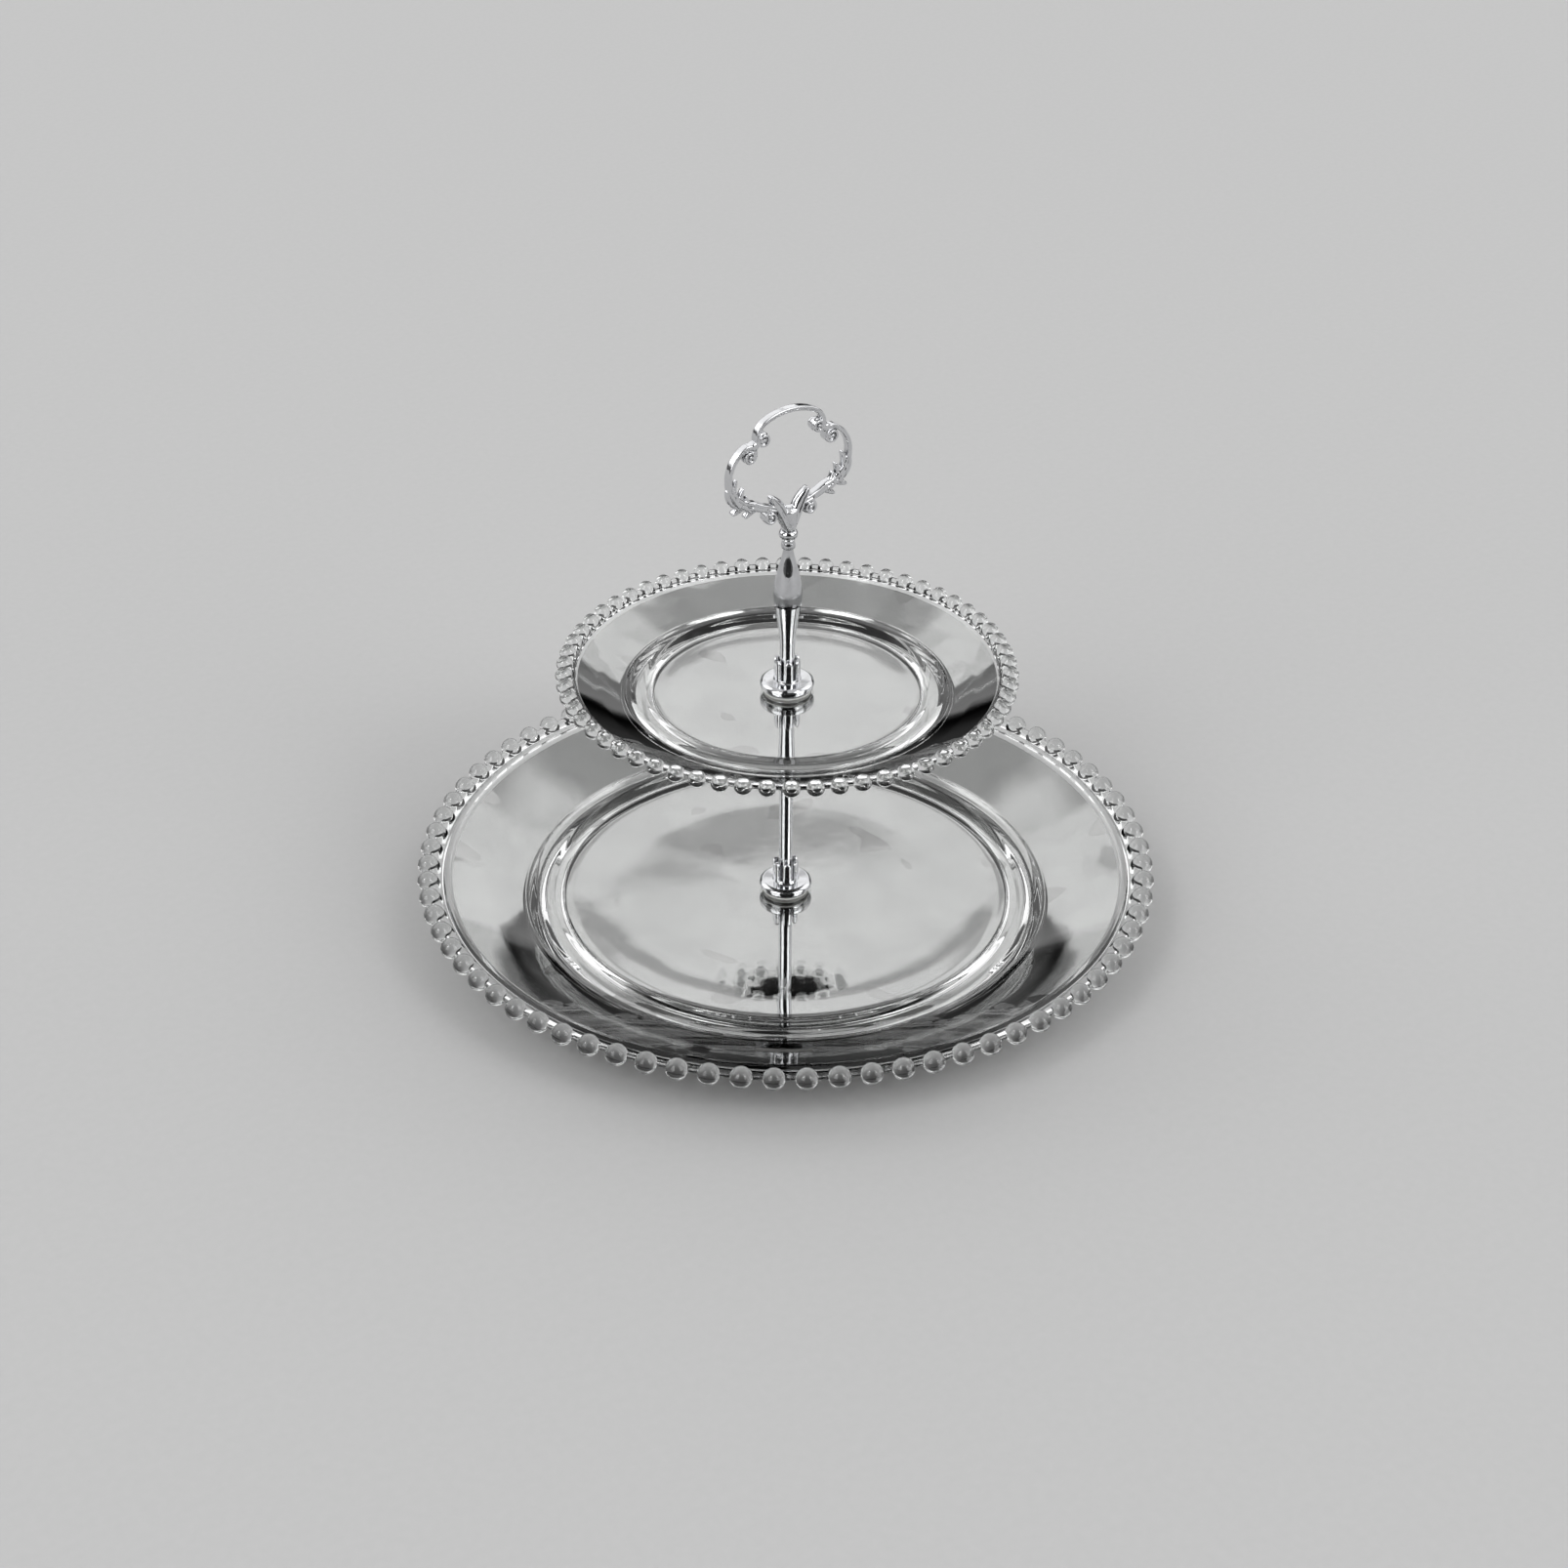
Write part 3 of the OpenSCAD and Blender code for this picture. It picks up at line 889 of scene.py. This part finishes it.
def button(centre, radius, half_d, around=32):
    """A domed round boss with its axis along Y."""
    dome = [(radius * math.cos(a), -half_d + radius * 0.4 * (1 + math.sin(a)))
            for a in np.linspace(-math.pi / 2, 0, 7)[1:]]
    profile = [(0, -half_d), *dome]
    outline = profile + [(r, -y) for r, y in reversed(profile)]
    vertices = []
    for r, y in outline:
        for k in range(around):
            a = 2 * math.pi * k / around
            vertices.append((centre[0] + max(r, 0.02) * math.cos(a), y,
                             centre[1] + max(r, 0.02) * math.sin(a)))
    return vertices, bar_faces(len(outline), around)


def curled(path, straight):
    """A grooved strap that grows thinner and deeper after its first straight points."""
    rim = straight / len(path)

    def wound(t):
        return max(0, (t - rim) / (1 - rim))

    return sweep(path, lambda t: STRAP_HALF_T - 0.62 * wound(t) ** 0.35,
                 lambda t: STRAP_HALF_D + 0.85 * min(1, wound(t) * 2.5), STRAP_GROOVE)


def strap_parts():
    """Every solid of the ring's +u half, which the other half mirrors, as (vertices, faces)."""
    top = arc(*TOP_ARC, 90, SHOULDER_FROM, 14)
    shoulder = arc(*SHOULDER_ARC, SHOULDER_FROM, 8, 12)
    curl = spiral(UPPER_VOLUTE, 2.9, 1.5, 2, -CURL)
    upper = curled(top + shoulder[1:] + curl, len(top) + len(shoulder))

    side = arc(*SIDE_ARC, -12, 66, 22)
    over = smooth_path([side[-1], (19.3, 42.6), (17.7, 41.6), (17.2, 39.6)], 6)[1:-1]
    curl = spiral(LOWER_VOLUTE, 3.0, 1.5, 172, CURL)
    lower = curled(side + over + curl, len(side) + len(over))

    bottom = arc(*SIDE_ARC, -6, -80, 20) + smooth_path(BRANCH, 6)[1:]
    branch = sweep(bottom, lambda t: 1.1 + 0.85 * math.sin(math.pi * min(1, t * 1.2)),
                   lambda t: 1.9 + 0.3 * t, STRAP_GROOVE)
    hook = smooth_path([(15, 13.6), (13.2, 13.0), (11.6, 12.1)], 5)[:-1]
    foot = sweep(hook + spiral(FOOT_VOLUTE, 2.9, 1.5, 66, -CURL),
                 lambda t: 1.05 - 0.65 * t ** 0.4, lambda t: 1.9 + 0.8 * min(1, 2 * t), 0.1)

    parts = [upper, lower, branch, foot]
    for centre, back_r in ((UPPER_VOLUTE, 3.1), (LOWER_VOLUTE, 3.2), (FOOT_VOLUTE, 3.2)):
        parts.append(button(centre, back_r, 1.9))
        parts.append(button(centre, 0.8, 3.0))
    parts.append(button(NODULE, 1.8, 2.2))
    for spine, half_w, half_d, lift in LEAVES:
        parts.append(leaf(spine, half_w, half_d, lift))
        if lift:
            parts.append(leaf(spine, half_w, half_d, -lift))
    return parts


def build_handle(material):
    """The cast ring. Its solids are melted together, which leaves a casting's soft corners."""
    lo, hi = box_mm("handle_ring")
    solids = []
    for vertices, faces in strap_parts() + [leaf(*row) for row in TULIP]:
        for side in (1, -1):
            solids.append(([(side * x, y, z) for x, y, z in vertices], faces))
    for face_side in (1, -1):
        solids.append(sweep(smooth_path(FOLD), lambda t: 1.3 * math.sqrt(1 - t ** 2) + 0.05, 0.8,
                            0.1, face_side * 2.3, leaf_section))
    ring = mesh_object("handle_ring_body", *gather(solids, lo.z), material)

    shoulder_r, tip_h = STEM_R + STEM_FLARE, STEM_H + 1.6
    flare = [(BORE_R, 0.02), (STEM_R - 0.2, 0.02), (STEM_R, 0.3), (shoulder_r, STEM_H),
             (1.6, tip_h), (0, tip_h), (0, STEM_H + 0.5), (BORE_R, STEM_H)]
    remesh_together(ring, [lathe("stem", raise_by(flare, lo.z), STEM_SEGMENTS)])
    bore = [(0, -1), (BORE_R, -1), (BORE_R, STEM_H - 0.4), (0, STEM_H)]
    union(ring, [lathe("bore", raise_by(bore, lo.z), STEM_SEGMENTS)], "DIFFERENCE")
    crease(ring, 60)
    stand_for(ring, "handle_ring")


# ---------------------------------------------------------------- studio

# Camera: metres and radians
CAMERA_TURN = math.radians(33.3)     # it stands this far round from -Y, towards -X
CAMERA_REACH = 1.023                 # horizontal distance from the column
CAMERA_HEIGHT = 0.713
CAMERA_TILT = math.radians(32.41)    # below the horizon
CAMERA_PAN = -0.001
CAMERA_ROLL = 0.0076
CAMERA_LENS = 62.78                  # on a 36 mm sensor


def add_camera():
    """The scene's camera, looking at the stand from above its front."""
    turn = CAMERA_TURN + CAMERA_PAN
    ahead = Vector((math.sin(turn), math.cos(turn), 0))
    forward = ahead * math.cos(CAMERA_TILT) - Vector((0, 0, math.sin(CAMERA_TILT)))
    right = forward.cross(Vector((0, 0, 1))).normalized()
    up = right.cross(forward)
    right, up = (right * math.cos(CAMERA_ROLL) + up * math.sin(CAMERA_ROLL),
                 up * math.cos(CAMERA_ROLL) - right * math.sin(CAMERA_ROLL))
    place = Vector((-math.sin(CAMERA_TURN), -math.cos(CAMERA_TURN), 0)) * CAMERA_REACH
    place.z = CAMERA_HEIGHT
    lens = bpy.data.cameras.new("camera")
    lens.lens = CAMERA_LENS
    lens.clip_start, lens.clip_end = 0.05, 50
    camera = bpy.data.objects.new("camera", lens)
    axes = Matrix((right, up, -forward)).transposed().to_4x4()
    camera.matrix_world = Matrix.Translation(place) @ axes
    bpy.context.scene.collection.objects.link(camera)
    bpy.context.scene.camera = camera


# Studio round the stand, in degrees. Azimuth counts from the camera's side, or from the far side
# for BACK_PANELS, positive to its right, and elevation from the horizon. A panel is (from azimuth,
# to azimuth, from elevation, to elevation, softness, brightness); a later one covers an earlier.
FRONT_PANELS = [
    (-180, 180, -5, 9, 4, 0.12),     # low gap all round
    (-64, -24, 10, 62, 2, 3.4),      # left softbox
    (38, 76, 10, 62, 2, 3.4),        # right softbox
    (-122, -92, 10, 55, 3, 1.9),     # left side box
    (90, 124, 10, 55, 3, 1.7),       # right side box
    (-52, -40, 44, 54, 1.5, 14),     # small lamp, left
    (47, 56, 36, 44, 1.5, 12),       # small lamp, right
    (-24, 38, -5, 60, 3, 0.03),      # dark place where the camera stands
    (-34, 4, 55, 84, 3, 0.03),       # its upper part
]
BACK_PANELS = [
    (-84, 84, 36, 64, 2, 0.62),      # dim wall above the far panel
    (-62, 62, 16, 41, 1.4, 1.30),    # far panel
    (-66, -25, 39, 50, 3.0, 1.20),   # its raised ends
    (25, 66, 39, 50, 3.0, 1.20),
    (-19, 17, 31.3, 34.0, 0.5, 0.74),  # dimmer strip across its middle
    (-66, 66, -5, 15, 1.5, 0.01),    # dark below it
]
BASE_LIGHT = 0.22
TOP_LIGHT = 0.72
TOP_FROM = 46                        # elevation above which the top light shows
RAGGED = 1.6                         # how far the panels' edges wander
SEEN_LIGHT = 0.75                    # brightness of the studio where the camera sees it directly
FLOOR_HALF = 6000


def add_world():
    """The studio, painted on the world by direction."""
    world = bpy.data.worlds.new("studio")
    bpy.context.scene.world = world
    world.use_nodes = True
    tree = world.node_tree
    tree.nodes.clear()
    n = Nodes(tree)
    way = n.add("ShaderNodeTexCoord").outputs["Generated"]
    to_camera = (-math.sin(CAMERA_TURN), -math.cos(CAMERA_TURN), 0)
    to_right = (math.cos(CAMERA_TURN), -math.sin(CAMERA_TURN), 0)
    near = n.dot(way, to_camera)
    side = n.dot(way, to_right)
    height = n.dot(way, (0, 0, 1))
    degrees = 180 / math.pi
    wander = n.noise(way, 1 / 9)
    elevation = n.math("ADD", n.math("MULTIPLY", n.math("ARCSINE", height), degrees),
                       n.range(wander, 0, 1, -2 * RAGGED, 2 * RAGGED))
    far = n.math("MULTIPLY", near, -1.0)
    front = n.math("MULTIPLY", n.math("ARCTAN2", side, near), degrees)
    back = n.math("MULTIPLY", n.math("ARCTAN2", side, far), degrees)
    light = n.mix(n.step(elevation, TOP_FROM, 2), BASE_LIGHT, TOP_LIGHT)
    for azimuth, panels in ((back, BACK_PANELS), (front, FRONT_PANELS)):
        for a0, a1, e0, e1, soft, brightness in panels:
            mask = n.math("MULTIPLY", n.band(azimuth, a0, a1, soft),
                          n.band(elevation, e0, e1, soft))
            light = n.mix(mask, light, brightness)
    seen = n.add("ShaderNodeLightPath").outputs["Is Camera Ray"]
    light = n.mix(seen, light, SEEN_LIGHT)
    out = n.add("ShaderNodeOutputWorld")
    glow = n.add("ShaderNodeBackground", {"Color": (1, 1, 1, 1), "Strength": light})
    tree.links.new(glow.outputs[0], out.inputs[0])


def add_floor():
    """The table top that the stand stands on."""
    corners = [(FLOOR_HALF * x, FLOOR_HALF * y, 0) for x, y in ((-1, -1), (1, -1), (1, 1), (-1, 1))]
    floor = mesh_object("floor", corners, [(0, 1, 2, 3)], floor_material())


# ---------------------------------------------------------------- the stand

bpy.context.scene.view_settings.view_transform = "Standard"
add_camera()
add_world()
add_floor()

glass = glass_material()
silver = silvering_material()
chrome = chrome_material()
cast_chrome = cast_chrome_material()
steel = steel_material()
soft = gasket_material()

build_plate(LOWER, glass, silver)
build_plate(UPPER, glass, silver)
build_flange("lower_flange", 3.1, chrome)
build_flange("upper_flange", SPINDLE_FOOT_R + 0.05, chrome)
build_ring_part("support_flange", 1.3, chrome)
build_ring_part("base_washer", 0.2, steel)
for node in ("base_gasket", "lower_gasket", "support_gasket", "upper_gasket"):
    build_ring_part(node, 0.25, soft)
build_rod(chrome)
build_spindle(chrome)
build_collar(chrome)
build_screw(steel)
build_handle(cast_chrome)
stud = frame["nodes"]["tier_stud"]
stud.data.materials.clear()
stud.data.materials.append(steel)
